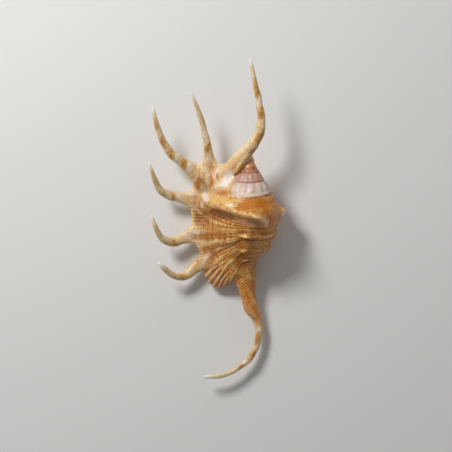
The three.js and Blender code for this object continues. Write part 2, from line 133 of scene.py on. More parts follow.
# Limbs, each from its tip to its root: x, y, z, half width, half height.
SPINES = {
    "first": [
        (19.6, 95.6, 31, 0.55, 0.5), (20.5, 91.7, 31, 1, 0.9), (21.6, 86.4, 30.8, 1.35, 1.2),
        (22.7, 80.8, 30.4, 1.6, 1.5), (24.2, 74.2, 29.8, 1.95, 1.8), (25.3, 67.6, 29.2, 2.2, 2),
        (26.3, 61.6, 28.7, 2.5, 2.2), (26.1, 55.6, 28.3, 2.85, 2.5), (24.7, 49.9, 28, 3.2, 2.8),
        (22, 45.3, 27.5, 3.6, 3), (18.9, 41.6, 26.9, 4, 3.2), (15.6, 37.6, 25.8, 4.6, 3.4),
        (12.2, 33.4, 24.2, 5.2, 3.6), (9, 28.6, 21.6, 5.8, 3.6), (6.4, 23, 17.6, 5, 3),
    ],
    "second": [
        (-15.4, 76, 25, 0.6, 0.5), (-14.2, 72.3, 24.2, 1, 0.9), (-12.5, 68.1, 23, 1.3, 1.2),
        (-10.6, 63.3, 21.6, 1.5, 1.4), (-8.8, 57.4, 19.9, 1.75, 1.6), (-7.4, 51.4, 18.2, 2.1, 1.9),
        (-6, 46, 16.6, 2.3, 2.1), (-5.3, 41.2, 15.2, 2.6, 2.2), (-4.9, 37, 14, 3.5, 2.3),
        (-4.7, 33, 13.2, 5.6, 2.3), (-4, 28, 13.6, 7.2, 2), (-1, 22.6, 16, 5, 1.4),
    ],
    "third": [
        (-38.5, 67.4, 24, 0.6, 0.5), (-38, 64.6, 23.6, 1, 0.9), (-37, 60.1, 22.6, 1.4, 1.25),
        (-35.6, 55, 21.2, 1.75, 1.6), (-33.7, 49.4, 19.4, 2.1, 1.85), (-30.9, 43.9, 17.5, 2.35, 2.1),
        (-27.4, 39.1, 15.6, 2.65, 2.3), (-23.2, 35.7, 14, 2.95, 2.4), (-18.9, 32.4, 12.6, 3.4, 2.4),
        (-15, 29.4, 11.4, 4.6, 2.3), (-10.8, 25.6, 10.4, 5.6, 2), (-5.6, 21, 10.4, 4, 1.4),
    ],
    "fourth": [
        (-40.8, 34.3, 22, 0.6, 0.5), (-39.8, 31, 21.4, 1, 0.9), (-38.4, 26.8, 20.2, 1.4, 1.25),
        (-37.1, 23.1, 18.6, 1.75, 1.55), (-35.3, 19.1, 16.5, 2.1, 1.85), (-32.3, 15.8, 14, 2.45, 2.1),
        (-28.2, 14, 11.8, 2.7, 2.3), (-23.7, 13, 10.3, 3, 2.4), (-19.8, 12.2, 9.4, 3.7, 2.4),
        (-16, 11.8, 9, 5.6, 2.2), (-11.5, 11.2, 8.2, 8.4, 2), (-5.5, 10.4, 8.6, 8, 1.6),
    ],
    "fifth": [
        (-39.2, 2.4, 21, 0.7, 0.5), (-38.3, -0.8, 20.3, 1.1, 0.95), (-37, -4.5, 18.9, 1.5, 1.3),
        (-35.2, -8.5, 16.8, 1.8, 1.6), (-32.6, -12, 14.2, 2.1, 1.9), (-29, -13.7, 11.8, 2.6, 2.3),
        (-25.1, -13.5, 9.8, 3.1, 2.5), (-21.1, -12.2, 8.6, 3.5, 2.5), (-17.4, -10.6, 7.8, 4.3, 2.4),
        (-13.8, -9.6, 7.4, 6.2, 2.2), (-9.6, -8.8, 7.2, 8.6, 2), (-4, -8, 7.4, 8, 1.6),
    ],
    "sixth": [
        (-35.4, -26.2, 18, 0.85, 0.7), (-33.5, -27.9, 17.2, 1.35, 1.1), (-31, -30.4, 15.4, 1.8, 1.5),
        (-28.2, -32.7, 13.2, 1.95, 1.7), (-24.9, -34.4, 11, 2.15, 1.9), (-21, -34.7, 9.2, 2.55, 2.2),
        (-17.7, -33.5, 8, 2.85, 2.4), (-15, -31.2, 7.4, 3.2, 2.4), (-12, -28.8, 7, 3.7, 2.3),
        (-8.6, -26.7, 6.8, 4.9, 2.2), (-4.4, -24.6, 7.2, 6.6, 1.9), (1, -22, 8.4, 6.6, 1.4),
    ],
}
TAIL = [
    (-8.3, -95, 10.2, 0.85, 0.7), (-4.8, -95.1, 9.8, 1.2, 1.05), (0.6, -94.7, 9.2, 1.4, 1.25),
    (6.3, -93.3, 8.5, 1.5, 1.35), (11.7, -90.5, 7.8, 1.6, 1.5), (16.8, -86.8, 7.2, 1.8, 1.7),
    (20.7, -82.6, 6.7, 2, 1.9), (23.4, -77.4, 6.3, 2.1, 2), (24.9, -71.8, 6.1, 2.2, 2.1),
    (25.3, -66.1, 6, 2.4, 2.3), (24.4, -61, 6.1, 2.6, 2.5), (22.9, -56.5, 6.3, 3, 2.9),
    (21.2, -51.8, 6.7, 3.6, 3.4), (19.6, -46, 7.2, 4, 3.8),
]
# Length of each spine, and of the tail, that stands free of the lip or of the neck.
LIMB_FREE = [54, 38, 45, 34, 31, 24, 50]
NECK = [
    (24.4, -60.4, 7.2, 1.7, 1.5), (23, -58, 7.3, 2.9, 2.4), (21.5, -55.8, 7.2, 4, 3.3),
    (20.5, -53.4, 7.2, 4.6, 3.8), (19.8, -50.4, 7.3, 4.6, 4), (18.9, -46.9, 7.6, 4.5, 4.2),
    (18, -42.8, 8.1, 5, 4.8), (17.4, -39.1, 8.6, 5.8, 5.2), (16.9, -34.4, 9.4, 6.5, 5.8),
    (16.5, -28.3, 10.4, 7.1, 6.4), (16.6, -22, 11.6, 6.4, 6.2), (17, -16, 12.8, 5.2, 5.2),
    (17.6, -10, 14, 4, 4),
]
# The thin wall of the hind canal, behind the tip of the spire.
HIND_WALL = [
    (20.2, 41.5, 24.5, 0.8, 1), (20.2, 38.5, 22.4, 1.2, 2), (20.6, 35, 20.6, 1.8, 2.6),
    (20.8, 31, 18.6, 2.2, 3),
]
# The open groove under the neck and the tail: x, y, half width, depth.
GROOVE = [
    (13.6, -12, 3, 0), (14, -18, 3, 0.9), (14.8, -24, 3, 2.6), (15.8, -31, 2.6, 3.2),
    (17, -38, 2.2, 2.8), (18.2, -45, 1.8, 2.4), (20.6, -51.5, 1.5, 2), (23.2, -58, 1.2, 1.5),
    (25, -65, 0.9, 1), (24.8, -72, 0.7, 0.5), (23.4, -77.4, 0.6, 0),
]
# The groove is cut below this height.
GROOVE_TOP = 11
SPINE_SEAM = 0.28

# How finely the forms are wrapped.
VOXEL = 0.495

# The spiral cords. Levels are counted across the cords: level, height, half width.
CORD_SPACING = 1.27
CORDS = [
    (24.4, 0.1, 0.6), (38.3, 0.14, 0.75), (41.2, 0.16, 0.7), (45.4, 0.6, 1), (47.6, -0.3, 0.6),
    (50.6, 0.16, 0.7), (54.6, 0.5, 0.95), (56.7, -0.2, 0.6), (59, 0.2, 0.7), (61.3, 0.35, 0.8),
    (64.2, 0.25, 0.7),
]
# The level of the cord that leaves the whorl for the lip at each y.
LIP_CORDS = [
    (-60, 110), (-32.5, 70), (-27.9, 65), (-24.3, 61), (-21.9, 58), (-19.5, 55), (-17, 52),
    (-13.4, 48), (-8.8, 43), (-4.1, 38), (1.2, 32.5), (5.3, 28.5), (12.4, 22.2), (40, 0),
]
# How much the cords lean at each distance down the axis, and the level there.
TWIST = [(0, 0), (56, 0), (62, 0.35), (70, 0.8), (90, 1), (130, 1)]
WIDER = [(0, 0), (60, 60), (70, 68.8), (90, 86), (130, 120)]
CORD_LEAN = 3.2

# How many stations the ribs and the cords run down by on their way out, in the fan and in the bay
# below the ridge, and the relief of the ribs and of the teeth on the lip's edge.
FAN_BOW = 2.6
BAY_BOW = 1.4
RIB_HEIGHT = 0.36
FINE_RIB_HEIGHT = 0.1
SCALLOP = 0.35
TOOTH_SPACING = 0.19
TOOTH_HEIGHT = 0.22
TOOTH_REACH = 0.25
# Where the edge is toothed: station, half length, strength.
TOOTHED = [(7, 0.65, 1), (9.2, 0.5, 1), (4.9, 0.4, 0.7)]
# Small ridges and bumps on the back: x, y, half width, half length, turn in degrees, height.
CRESTS = [
    (16.8, 36, 1.2, 2.6, -42, 0.5), (12.6, 30.4, 1.3, 4, -34, 0.95), (14.3, 32.4, 1, 1, 0, 0.35),
    (10.8, 27.8, 1.2, 1.1, 0, 0.45), (5.1, 19.9, 1.2, 1, 0, 0.5), (-2.4, 28, 1.5, 6, -4, 0.4),
    (-8.6, 29.6, 1.4, 4.4, 38, 0.35), (6.4, 24.6, 2.6, 1.8, 38, -0.45), (0.4, 23.5, 1.3, 4, 10, -0.3),
    (23.8, -4.4, 3.4, 0.9, -4, 0.55), (23.2, -2.3, 3.2, 0.8, -6, -0.45),
]

# Colour patches: x, y, half width, half height, turn in degrees, strength. Those named grown show where
# the fine lines of growth are plainest.
PATCHES = {
    "pale": [
        # Most pale patches are the shell's own white. Those at (8, 8), (-9.2, 7.9) and (0.1, -19.1) are
        # painted highlights (glints), and (-6.8, 13.4) is the lip bump's pale colour with a painted sheen.
        (6.6, 24, 5.4, 3.1, 38, 1.3), (2.6, 20.6, 3, 1.4, 30, 0.8), (-5.5, 36.3, 1.3, 3.2, 0, 0.7),
        (-6.8, 13.4, 3, 4.4, 10, 1.1), (-9.2, 7.9, 0.8, 2.6, 20, 0.8), (8, 8, 4.4, 1.4, -8, 0.85),
        (10.1, 4.4, 4.4, 1, -10, 0.45), (-12.4, -8.3, 5.4, 1.5, -10, 0.95),
        (-6.5, -22.8, 3.6, 1.6, 40, 0.8), (0.1, -19.1, 0.7, 1.4, 0, 0.8), (27.5, 13.2, 1.6, 0.9, -20, 0.6),
        (-15.2, 14.9, 4, 1.8, -20, 0.7), (20.8, 1.8, 6.5, 1.1, -10, 0.55), (27.4, -0.4, 1.9, 1.3, 0, 0.4),
        (5.4, 30.4, 7, 3.6, 15, 0.4), (16.2, 34.4, 1.6, 1.2, 0, 0.9), (11.4, 35.6, 5, 1.8, 42, 0.35),
        (39.6, 2.4, 1.8, 2.4, 0, 0.8), (5.1, 19.9, 1.4, 1.1, 0, 0.8), (-17, 31, 3.5, 2.2, -35, 0.7),
        (3, -27, 1.1, 4.5, -50, 0.5),
    ],
    "light": [
        (12.4, 30.2, 1.5, 4.4, -34, 1.2), (17.6, 37, 1.6, 2.4, -40, 0.9), (-5.4, 13.2, 7, 4.6, -8, 0.95),
        (5.4, 10.4, 7, 3.6, -10, 0.85), (20.5, 2.4, 7, 1.6, -8, 0.6), (12.6, 11, 3, 2.4, 0, 0.5),
        (-14, -14, 3, 2, 30, 0.5), (-12, 3.4, 4, 2.6, 0, 0.5), (-1.2, -24.5, 4.4, 2.2, 40, 0.6),
        (5, -29, 1.2, 5, -42, 0.6), (15.6, -10.6, 4, 1.2, -10, 0.7), (14, -19.4, 3.6, 1.2, 0, 0.6),
        (1, -13.6, 6, 1, 4, 0.5), (24, 18, 3, 2, -30, 0.4),
    ],
    "brown": [
        (20, -20, 9, 7, 0, 0.55), (14, -14, 7, 4, 0, 0.3), (-11.4, 23.8, 1.3, 2.2, 0, 0.8),
        (-11.4, 18.4, 1.6, 1.8, 0, 0.8), (-7.4, -9.7, 4.4, 0.6, 2, 0.9), (4, -10.3, 6.4, 0.55, -3, 0.9),
        (12.6, -11, 4, 0.5, -3, 0.7), (-3.2, 28.6, 1.4, 6.4, 2, 1.2), (-3.6, 20.9, 1.5, 2.6, 0, 1),
        (-11.9, 21.4, 3, 2, 10, 0.8), (-7.6, 23.2, 1.6, 3, 20, 0.7), (3.5, 15.6, 5.4, 1.9, 5, 0.9),
        (21, 10.6, 8.6, 2.6, 0, 0.6), (16.8, 6.9, 3, 2.8, 0, 0.9), (28, 8.2, 4, 3.6, -30, 0.6),
        (0.8, 10.9, 3, 1.8, 0, 0.4), (-1.5, -8.6, 6.4, 1.1, -4, 1.1), (-2, -20.4, 3.2, 1.3, 30, 1.1),
        (-6.8, -17.6, 2.6, 0.9, 25, 1), (-11.2, -1.1, 3.2, 0.7, 0, 1.1), (-11.4, -3.1, 3, 0.7, -4, 1),
        (18.6, -12.2, 7, 0.7, 0, 0.9), (12.1, -27.6, 3.4, 2, 0, 0.7), (10.1, -22.6, 6.6, 1.6, 0, 0.8),
        # On the next line, the patch at (14, 31.2) is painted shadow along the lower side of the first
        # spine's ridge.
        (16.8, -39, 3, 6, 0, 0.6), (20.8, 40.6, 1.7, 3, -36, 1.1), (14, 31.2, 0.8, 3.2, -36, 0.5),
        (-13.4, 9.6, 2.4, 1, 0, 0.7), (-4, 4.4, 3.6, 1.2, -30, 0.6), (8, -14.8, 7, 0.8, 3, 0.6),
        (-8, 27.2, 1.8, 1.6, 0, 0.5),
    ],
    "pink": [
        (17.5, -2.2, 7.4, 2.1, -6, 1.1), (26, -4, 4, 3, -20, 0.5), (38, 2.6, 2.2, 4.2, 20, 1),
        (35.4, 4.4, 1.1, 1.8, 0, 0.8), (21, -15.8, 6.6, 3.4, 0, 0.5), (2.4, -38, 7.6, 3, 15, 0.9),
        (18.4, -53.4, 3.4, 3.4, 0, 0.8), (-10.4, 26.6, 3, 2.4, 0, 0.35), (24, -23, 5, 4, 40, 0.4),
        (-3.6, -30, 3, 4, 35, 0.5),
    ],
    # The dark patch in the hollow beside the ridge's knob: partly a brown stain, partly painted shade of
    # the hollow.
    "stain_and_shade": [
        (-2.6, 4.1, 2.6, 2.1, -10, 1), (6.4, 1.5, 4.8, 2.8, -8, 0.95), (1.6, 3.2, 3, 2.6, 0, 0.8),
        (12.6, -0.4, 3, 1.6, 0, 0.35),
    ],
    "grown": [
        (-1.5, -3, 9, 9, 0, 1), (7, 1, 6, 5, -10, 0.8), (8, -13, 7, 5, 0, 0.7), (-6, 28, 8, 7, 0, 0.4),
    ],
}
# Painted light: an orange wash that brightens the right flank, the lower right of the back and the neck.
WARM_LIGHT_PATCHES = [(35, -2, 12, 22, 0, 1.2), (16, -20, 10, 8, 0, 0.8), (18, -42, 6, 12, 0, 0.5)]
# Brown bands and white gaps on each spine and on the tail: distance from the tip, half length,
# strength, and where they are strongest, in degrees from the right side over the top.
BANDS = {
    "first": [
        (17.5, 6.4, 1, 85), (22, 1.6, 0.4, 110), (33.6, 4.4, 1, 85), (47.6, 5.6, 1.05, 55),
        (57.4, 3, 1.1, 45), (62.5, 5, 0.45, 10),
    ],
    "second": [(9, 5, 0.5, 90), (20, 6, 0.5, 70), (35.7, 2.8, 1.2, 80)],
    "third": [(11, 5, 0.9, 100), (22.6, 3.8, 1, 95), (31, 3.4, 0.9, 110), (41.4, 2.4, 1.3, 95)],
    "fourth": [(10, 6, 0.7, 90), (21.6, 3, 0.6, 110), (28.4, 1.8, 1.05, 100), (36.5, 2, 0.5, 60)],
    "fifth": [(9.7, 3.4, 0.65, 100), (20.6, 3, 0.6, 130), (24.8, 2.2, 0.95, 100)],
    "sixth": [(6, 3, 0.5, 90), (13, 4, 0.65, 100), (19.4, 3.4, 0.75, 100), (26, 3, 0.5, 70)],
    "tail": [
        (12, 5, 0.45, 90), (24, 3, 0.8, 90), (33.4, 4.6, 1, 80), (45, 4.8, 1.05, 75),
        (55.8, 3.2, 0.65, 90),
    ],
}
GAPS = {
    "first": [(26.4, 2.4, 0.85, 90)],
    "second": [(41.8, 2.6, 0.75, 90)],
    "third": [(35.6, 1.8, 0.7, 90), (46, 2.6, 0.7, 90)],
    "fourth": [(33, 2, 0.75, 90)],
    "fifth": [(36.6, 4, 0.8, 90)],
    "sixth": [(35, 4, 0.8, 60)],
    "tail": [(50.6, 1.8, 0.7, 90), (39, 1.4, 0.4, 90)],
}

# Lights: place in metres, size, power.
LIGHTS = [
    ("key", (-0.42, 0.5, 0.6), 0.22, 5.8),
    ("fill", (0.7, -0.2, 0.6), 0.8, 0.35),
    ("back", (0.1, 0.8, 0.35), 0.5, 0.7),
]
WORLD_LIGHT = 0.2
FLOOR_SIZE = 6
FLOOR_COLOUR = (0.8, 0.79, 0.77)
# The camera's view, from above.
VIEW_MIDDLE = (5.4, -4.35)
VIEW_LEVEL = 15
VIEW_WIDTH = 271.2
LENS = 300
SENSOR = 36


# Helpers.


def bell(offset, half):
    return np.exp(-((offset / half) ** 2))


def rise(value, low, high):
    """From 0 at the low value to 1 at the high one, with eased ends."""
    share = np.clip((value - low) / (high - low), 0, 1)
    return share * share * (3 - 2 * share)


def mix(a, b, share):
    return a + (b - a) * share


def unit(vectors):
    return vectors / np.maximum(np.linalg.norm(vectors, axis=-1, keepdims=True), 1e-12)


def eased(a, b, start, end, s):
    """From a to b over s = 0 to 1, leaving at the start slope and arriving at the end slope."""
    climb = b - a
    return a + s * (start + s * (3 * climb - 2 * start - end + s * (start + end - 2 * climb)))


def through(rows, stations):
    """A smooth curve through rows of (station, value, value, ...), at each of the stations."""
    table = np.asarray(rows, float)
    x, values = table[:, 0], table[:, 1:]
    slopes = np.empty_like(values)
    slopes[1:-1] = (values[2:] - values[:-2]) / (x[2:] - x[:-2])[:, None]
    slopes[0] = (values[1] - values[0]) / (x[1] - x[0])
    slopes[-1] = (values[-1] - values[-2]) / (x[-1] - x[-2])
    wanted = np.asarray(stations, float)
    flat = wanted.ravel()
    i = np.clip(np.searchsorted(x, flat, side="right") - 1, 0, len(x) - 2)
    span = (x[i + 1] - x[i])[:, None]
    s = np.clip((flat - x[i])[:, None] / span, 0, 1)
    curve = eased(values[i], values[i + 1], slopes[i] * span, slopes[i + 1] * span, s)
    return curve.reshape(wanted.shape + (values.shape[1],))


def columns_through(rows, stations):
    """The same curve, with each value as an array of its own."""
    return np.moveaxis(through(rows, stations), -1, 0)


# The forms. Each closed skin is an array of rings of points.


def coils_of(turn, down):
    """Turns of the spiral from the last suture: each whole number is a suture of the spire."""
    coils = np.log(np.maximum(down, 0.4) / SPIRE_END) / math.log(WHORL_RATIO)
    return coils - through(SPIRE_TURN, turn)[..., 0]


def spire_radius(turn, down):
    phase = coils_of(turn, down)
    phase = phase - np.floor(phase)
    beads = 0.55 + 0.45 * np.cos(np.radians(turn) * KEEL_NODULES)
    keel = bell(phase - 0.5, 0.24) * beads
    ledge = bell(phase - 0.9, 0.07)
    suture = bell(phase - 1, 0.04) + bell(phase, 0.04)
    return SPIRE_SLOPE * down * (1 + KEEL_HEIGHT * (keel + 0.4 * ledge - suture))


def knob_height(knobs, turn, down):
    height = np.zeros(np.broadcast(turn, down).shape)
    for angle, level, slant, tall, before, after, above, below in knobs:
        aside = turn - angle
        under = down - level + slant * aside
        round_it = bell(aside, np.where(aside < 0, before, after))
        height += tall * round_it * bell(under, np.where(under < 0, above, below))
    return height


def body_radius(turn, down):
    growth, drawn = columns_through(ROUND_THE_AXIS, turn)
    outer, pillar = columns_through(LAST_WHORL, down)
    opened = drawn * rise(down, *MOUTH_TOP)
    grown = mix(1, growth, rise(down, SPIRE_END, SPIRE_END + 8))
    wall = outer * grown + (1 - opened) * knob_height(KNOBS, turn, down)
    last = mix(wall, pillar, opened)
    return np.where(down < SPIRE_END, spire_radius(turn, down), last)


def shoulder(x, y):
    """How far the ridge stands up, less what the hollow below it sinks."""
    crest, height, above, below = columns_through(SHOULDER, np.clip(x, SHOULDER[0][0], SHOULDER[-1][0]))
    under = crest - y
    ridge = height * bell(under, np.where(under < 0, above, below))
    hollow = bell(x - HOLLOW["x"], HOLLOW["half_x"]) * bell(y - HOLLOW["y"], HOLLOW["half_y"])
    return ridge - HOLLOW["depth"] * hollow


def whorls(around, along):
    turn = np.linspace(TURN_START, TURN_START + 360, around, endpoint=False)[None, :]
    down = (BODY_END * np.linspace(0, 1, along) ** 1.1)[:, None]
    turn, down = np.broadcast_arrays(turn, down)
    radius = body_radius(turn, down)[..., None]
    angle = np.radians(turn)[..., None]
    rings = APEX + DOWN * down[..., None] + radius * (SIDE * np.cos(angle) + BACK * np.sin(angle))
    on_top = rise(turn, 25, 50) * (1 - rise(turn, 125, 150)) * rise(down, SPIRE_END, SPIRE_END + 3)
    rings[..., 2] += on_top * shoulder(rings[..., 0], rings[..., 1])
    return rings


def lip_profile(heights, out):
    """Height at a share of the way out, from five heights a quarter of the way apart."""
    at = np.clip(np.floor(out * 4).astype(int), 0, 3)
    wanted = [np.clip(at + step, 0, 4)[..., None] for step in (-1, 0, 1, 2)]
    before, a, b, after = (np.take_along_axis(heights, row, -1)[..., 0] for row in wanted)
    start = np.where(at == 0, b - a, (b - before) / 2)
    end = np.where(at == 3, b - a, (after - a) / 2)
    return eased(a, b, start, end, out * 4 - at)


def lip(around, along):
    angle = np.linspace(0, 2 * np.pi, around, endpoint=False)[None, :]
    station = np.linspace(LIP_END, 0, along)[:, None]
    angle, station = np.broadcast_arrays(angle, station)
    row = through(LIP, station)
    out = (1 - np.cos(angle)) / 2
    top = lip_profile(row[..., 4:9], out)
    bottom = lip_profile(row[..., 9:14], out)
    edge = np.abs(np.sin(angle)) ** 0.3 * np.sign(np.sin(angle))
    x = mix(row[..., 0], row[..., 2], out)
    y = mix(row[..., 1], row[..., 3], out)
    lift = shoulder(x, y) * np.clip(edge, 0, 1)
    return np.stack([x, y, (top + bottom + edge * (top - bottom)) / 2 + lift], -1)


def limb_frames(rows, count):
    """Centres, sideways and upward directions, half sizes and distances from the tip."""
    at = np.linspace(0, len(rows) - 1, count)
    row = through(np.column_stack([np.arange(len(rows)), np.asarray(rows, float)]), at)
    centre = row[:, :3]
    ahead = unit(np.gradient(centre, axis=0))
    across = unit(np.column_stack([-ahead[:, 1], ahead[:, 0], np.zeros(count)]))
    up = np.cross(ahead, across)
    steps = np.linalg.norm(np.diff(centre, axis=0), axis=1)
    along = np.concatenate([[0], np.cumsum(steps)])
    return centre, across, up, row[:, 3], row[:, 4], along


def limb(rows, around, along):
    centre, across, up, wide, high, _ = limb_frames(rows, along)
    angle = np.linspace(0, 2 * np.pi, around, endpoint=False)
    ring = across[:, None] * (wide[:, None] * np.cos(angle))[..., None]
    ring = ring + up[:, None] * (high[:, None] * np.sin(angle))[..., None]
    return centre[:, None] + ring


# One surface round all the skins, and how it is smoothed.


def joined_skins(skins):
    """All the skins as one list of corners and one of faces."""
    corners, faces, first = [], [], 0
    for rings in skins:
        count, around = rings.shape[:2]
        corners.append(rings.reshape(-1, 3))
        index = first + np.arange(count * around).reshape(count, around)
        beside = np.roll(index, -1, axis=1)
        quads = np.stack([index[:-1], beside[:-1], beside[1:], index[1:]], -1)
        faces.extend(quads.reshape(-1, 4).tolist())
        faces.append(index[0][::-1].tolist())
        faces.append(index[-1].tolist())
        first += count * around
    return np.concatenate(corners), faces


def edges_of(mesh):
    edges = np.empty(len(mesh.edges) * 2, int)
    mesh.edges.foreach_get("vertices", edges)
    return edges.reshape(-1, 2).T


def without_pockets(mesh):
    """Takes out the tiny closed pockets that the wrap leaves where the skins meet."""
    a, b = edges_of(mesh)
    part, last = np.arange(len(mesh.vertices)), None
    while not np.array_equal(part, last):
        last = part
        part = last.copy()
        np.minimum.at(part, a, last[b])
        np.minimum.at(part, b, last[a])
        part = part[part]
    whole = bmesh.new()
    whole.from_mesh(mesh)
    main = np.bincount(part).argmax()
    pockets = [corner for corner, label in zip(whole.verts, part) if label != main]
    bmesh.ops.delete(whole, geom=pockets, context="VERTS")
    whole.to_mesh(mesh)
    whole.free()


def grown_together(skins):
    """A mesh of the outer surface of the overlapping skins."""
    corners, faces = joined_skins(skins)
    drawn = bpy.data.meshes.new("drawn")
    drawn.from_pydata(corners.tolist(), [], faces)
    holder = bpy.data.objects.new("drawn", drawn)
    bpy.context.scene.collection.objects.link(holder)
    wrap = holder.modifiers.new("wrap", "REMESH")
    wrap.mode = "VOXEL"
    wrap.voxel_size = VOXEL
    wrap.adaptivity = 0
    depsgraph = bpy.context.evaluated_depsgraph_get()
    mesh = bpy.data.meshes.new_from_object(holder.evaluated_get(depsgraph))
    bpy.data.objects.remove(holder)
    bpy.data.meshes.remove(drawn)
    without_pockets(mesh)
    return mesh


class Net:
    """Which corners of the mesh are joined to which."""

    def __init__(self, mesh):
        a, b = edges_of(mesh)
        self.ends = np.concatenate([a, b])
        self.others = np.concatenate([b, a])
        self.count = np.bincount(self.ends).astype(float)
        corners = np.empty(len(mesh.loops), int)
        mesh.loops.foreach_get("vertex_index", corners)
        self.quads = corners.reshape(-1, 4)

    def mean_beside(self, values):
        """The mean over each corner's neighbours, of one value or of each column."""
        if values.ndim == 2:
            return np.stack([self.mean_beside(column) for column in values.T], -1)
        return np.bincount(self.ends, values[self.others]) / self.count

    def smoothed(self, points, rounds, strength=0.5):
        """Draws points to the middle of their neighbours, by one strength or one for each."""
        share = np.broadcast_to(strength, len(points))[:, None]
        for _ in range(rounds):
            points = points + share * (self.mean_beside(points) - points)
        return points

    def normals(self, points):
        a, b, c, d = (points[self.quads[:, k]] for k in range(4))
        face = np.cross(c - a, d - b)
        normal = np.zeros_like(points)
        for k in range(4):
            for axis in range(3):
                normal[:, axis] += np.bincount(self.quads[:, k], face[:, axis], len(points))
        return unit(normal)

    def eased_joins(self, points, keep):
        """Rounds out the creases where the forms meet, by a share for each point."""
        for _ in range(3):
            inward = ((self.mean_beside(points) - points) * self.normals(points)).sum(1)
            weight = rise(inward, 0.006, 0.03) * keep
            for _ in range(5):
                weight = np.maximum(weight, 1.05 * self.mean_beside(weight))
            weight = np.clip(weight, 0, 1) * keep
            points = self.smoothed(points, 30, 0.5 * weight)
        return points


# Where a point is, in the shell's own terms.


def body_place(points):
    """Angle round the axis in degrees, distance down it, and distance from it."""
    offset = points - APEX
    down = offset @ DOWN
    angle = np.degrees(np.arctan2(offset @ BACK, offset @ SIDE))
    turn = (angle + (360 - TURN_START)) % 360 + TURN_START
    return turn, down, np.hypot(offset @ BACK, offset @ SIDE)


def lip_place(points):
    """Station along the lip and share of the way out, for each point seen from above."""
    stations = np.linspace(0, LIP_END, 20 * LIP_END + 1)
    row = through(LIP, stations)
    inner, outer = row[:, :2], row[:, 2:4]
    way = outer - inner
    found = []
    for some in np.array_split(points[:, :2], 32):
        apart = some[:, None] - inner[None]
        side = way[None, :, 0] * apart[..., 1] - way[None, :, 1] * apart[..., 0]
        share = (way[None] * apart).sum(-1) / (way ** 2).sum(-1)[None]
        change = (side[:, :-1] * side[:, 1:] <= 0) & (share[:, :-1] > -0.6)
        at = np.where(change.any(1), change.argmax(1), np.abs(side).argmin(1))
        at = np.clip(at, 0, len(stations) - 2)
        each = np.arange(len(some))
        low, high = side[each, at], side[each, at + 1]
        between = np.clip(low / np.where(low == high, 1, low - high), 0, 1)
        station = mix(stations[at], stations[at + 1], between)
        found.append((station, mix(share[each, at], share[each, at + 1], between)))
    return np.hstack(found)


def limb_place(points):
    """For each point: which limb is nearest, and the limb's frame there."""
    steps = 360
    parts = [limb_frames(rows, steps) for rows in [*SPINES.values(), TAIL]]
    owner = np.repeat(np.arange(len(parts)), steps)
    frame_rows = [np.concatenate(each) for each in zip(*parts)]
    tree = KDTree(len(owner))
    for i, centre in enumerate(frame_rows[0]):
        tree.insert(centre, i)
    tree.balance()
    found = np.array([tree.find(point)[1] for point in points])
    return owner[found], *(rows[found] for rows in frame_rows)


def angle_round_neck(points):
    """The angle round the middle of the neck, from its right side over the top."""
    centres = [(y, x, z) for x, y, z, _, _ in NECK[:-2]]
    centre = through(centres, np.clip(points[:, 1], centres[0][0], centres[-1][0]))
    angle = np.arctan2(points[:, 2] - centre[:, 1], points[:, 0] - centre[:, 0])
    return np.where(angle < -np.pi / 2, angle + 2 * np.pi, angle)


def pulled_round(points):
    """Draws the spines and the tail out to their true round sections, which the wrap blunts.

    Also gives the limb that each point is on, its place along and round it, and its share in it."""
    owner, centre, across, up, wide, high, along = limb_place(points)
    free = np.array(LIMB_FREE)[owner]
    offset = points - centre
    a = (offset * across).sum(1) / wide
    b = (offset * up).sum(1) / high
    ratio = np.maximum(np.hypot(a, b), 1e-6)
    section = across * (a * wide)[:, None] + up * (b * high)[:, None]
    swell = 1 + 0.035 * np.sin(along / 2.9 + owner * 1.7) + 0.02 * np.sin(along / 1.15 + owner)
    swell = mix(1, swell, rise(along, 3, 12))
    target = points - section + section * (swell / ratio)[:, None]
    pull = (1 - rise(along, free, free + 7)) * rise(along, 0.1, 0.7) * (ratio < 2.2)
    share = (1 - rise(along, free - 2, free + 9)) * (ratio < 2.6)
    limbs = SimpleNamespace(owner=owner, along=along, share=share, angle=np.degrees(np.arctan2(b, a)))
    return mix(points, target, pull[:, None]), limbs


def spiral_of(around, down, station, lipness):
    """Distance across the cords: down the axis on the whorl, fanned out over the lip.

    The station is the one where the cord through the point leaves the whorl."""
    down = np.clip(down, 0, TWIST[-1][0] - 1)
    lean, level = through(TWIST, down)[:, 0], through(WIDER, down)[:, 0]
    helix = level - lean * CORD_LEAN * (around - np.pi / 2)
    inner_y = through(LIP, station)[:, 1]
    fanned = through(LIP_CORDS, np.clip(inner_y, LIP_CORDS[0][0], LIP_CORDS[-1][0]))[:, 0]
    return mix(helix, fanned, lipness)


# Fine relief.


